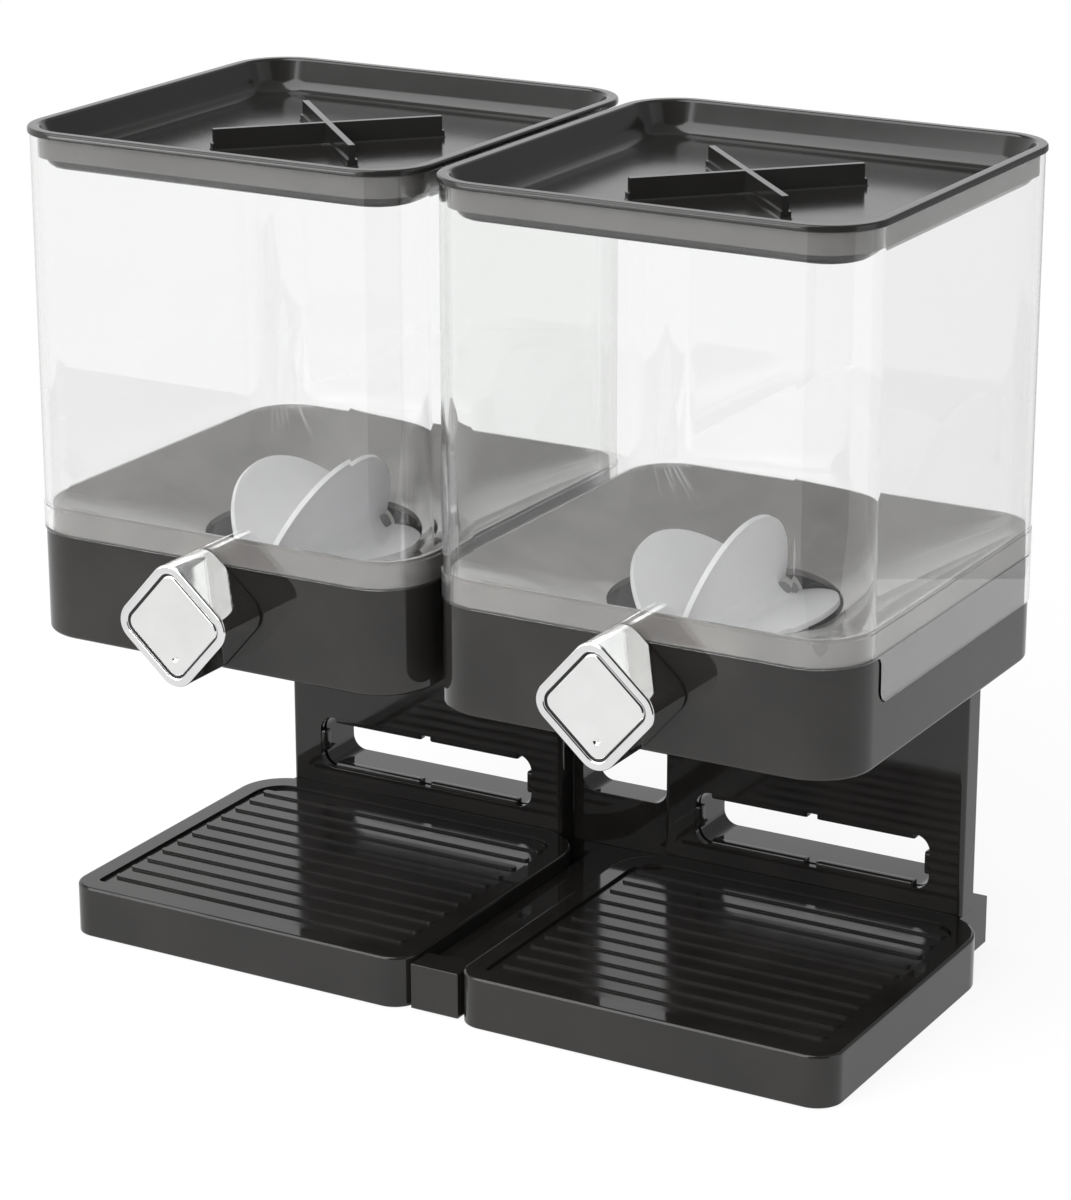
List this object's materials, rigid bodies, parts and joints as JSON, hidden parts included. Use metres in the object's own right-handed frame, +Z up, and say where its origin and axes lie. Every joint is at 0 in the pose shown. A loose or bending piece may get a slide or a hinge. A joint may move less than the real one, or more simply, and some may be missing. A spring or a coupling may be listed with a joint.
{
  "type": "double cereal dispenser",
  "caption": "Free-standing dry food dispenser with clear rounded-square canisters, lift-off lids, chrome turn knobs, soft paddle wheels and ribbed crumb trays on a black stand.",
  "frame": {"origin": "centre of the whole object's plan on the table", "axes": "+X to the right seen from the front, +Y to the back, the knobs face -Y, +Z up"},
  "size_m": [0.335, 0.194, 0.3108],
  "materials": {
    "gloss_black": "polished moulded black",
    "tray_black": "glossy ribbed black",
    "lid_black": "satin moulded black",
    "clear_plastic": "clear moulded",
    "white_silicone": "soft translucent white",
    "chrome": "bright plated",
    "knob_face_chrome": "satin plated",
    "core_black": "moulded black",
    "bush_white": "moulded natural",
    "shaft_grey": "moulded grey",
    "screw_steel": "zinc plated",
    "pad_rubber": "soft black"
  },
  "bodies": {
    "base": {"left_housing": "gloss_black", "left_hopper": "gloss_black", "left_bowl": "gloss_black", "left_front_bush": "bush_white", "left_rear_bush": "bush_white", "left_column": "gloss_black", "left_column_cover": "gloss_black", "left_foot": "gloss_black", "right_housing": "gloss_black", "right_hopper": "gloss_black", "right_bowl": "gloss_black", "right_front_bush": "bush_white", "right_rear_bush": "bush_white", "right_column": "gloss_black", "right_column_cover": "gloss_black", "right_foot": "gloss_black", "centre_bridge": "gloss_black", "centre_panel": "gloss_black", "cover_screws": "screw_steel", "housing_screws": "screw_steel", "rubber_feet": "pad_rubber"},
    "left_knob": {"left_knob_shell": "chrome", "left_knob_face": "knob_face_chrome", "left_knob_core": "core_black", "left_drive_shaft": "shaft_grey", "left_shaft_clip": "screw_steel", "left_wheel_hub": "shaft_grey", "left_paddle_wheel": "white_silicone"},
    "left_canister": {"left_canister": "clear_plastic"},
    "left_lid": {"left_lid": "lid_black"},
    "left_tray": {"left_crumb_tray": "tray_black"},
    "right_knob": {"right_knob_shell": "chrome", "right_knob_face": "knob_face_chrome", "right_knob_core": "core_black", "right_drive_shaft": "shaft_grey", "right_shaft_clip": "screw_steel", "right_wheel_hub": "shaft_grey", "right_paddle_wheel": "white_silicone"},
    "right_canister": {"right_canister": "clear_plastic"},
    "right_lid": {"right_lid": "lid_black"},
    "right_tray": {"right_crumb_tray": "tray_black"}
  },
  "joints": [
    {"name": "left_knob_turn", "type": "hinge", "parent": "base", "child": "left_knob", "pos_m": [-0.085, 0.0105, 0.1448], "axis": [0, -1, 0], "continuous": true},
    {"name": "left_canister_lift", "type": "slide", "parent": "base", "child": "left_canister", "axis": [0, 0, 1], "range_m": [0, 0.06]},
    {"name": "left_lid_lift", "type": "slide", "parent": "left_canister", "child": "left_lid", "axis": [0, 0, 1], "range_m": [0, 0.04]},
    {"name": "left_tray_lift", "type": "slide", "parent": "base", "child": "left_tray", "axis": [0, 0, 1], "range_m": [0, 0.04]},
    {"name": "right_knob_turn", "type": "hinge", "parent": "base", "child": "right_knob", "pos_m": [0.085, 0.0105, 0.1448], "axis": [0, -1, 0], "continuous": true},
    {"name": "right_canister_lift", "type": "slide", "parent": "base", "child": "right_canister", "axis": [0, 0, 1], "range_m": [0, 0.06]},
    {"name": "right_lid_lift", "type": "slide", "parent": "right_canister", "child": "right_lid", "axis": [0, 0, 1], "range_m": [0, 0.04]},
    {"name": "right_tray_lift", "type": "slide", "parent": "base", "child": "right_tray", "axis": [0, 0, 1], "range_m": [0, 0.04]}
  ]
}
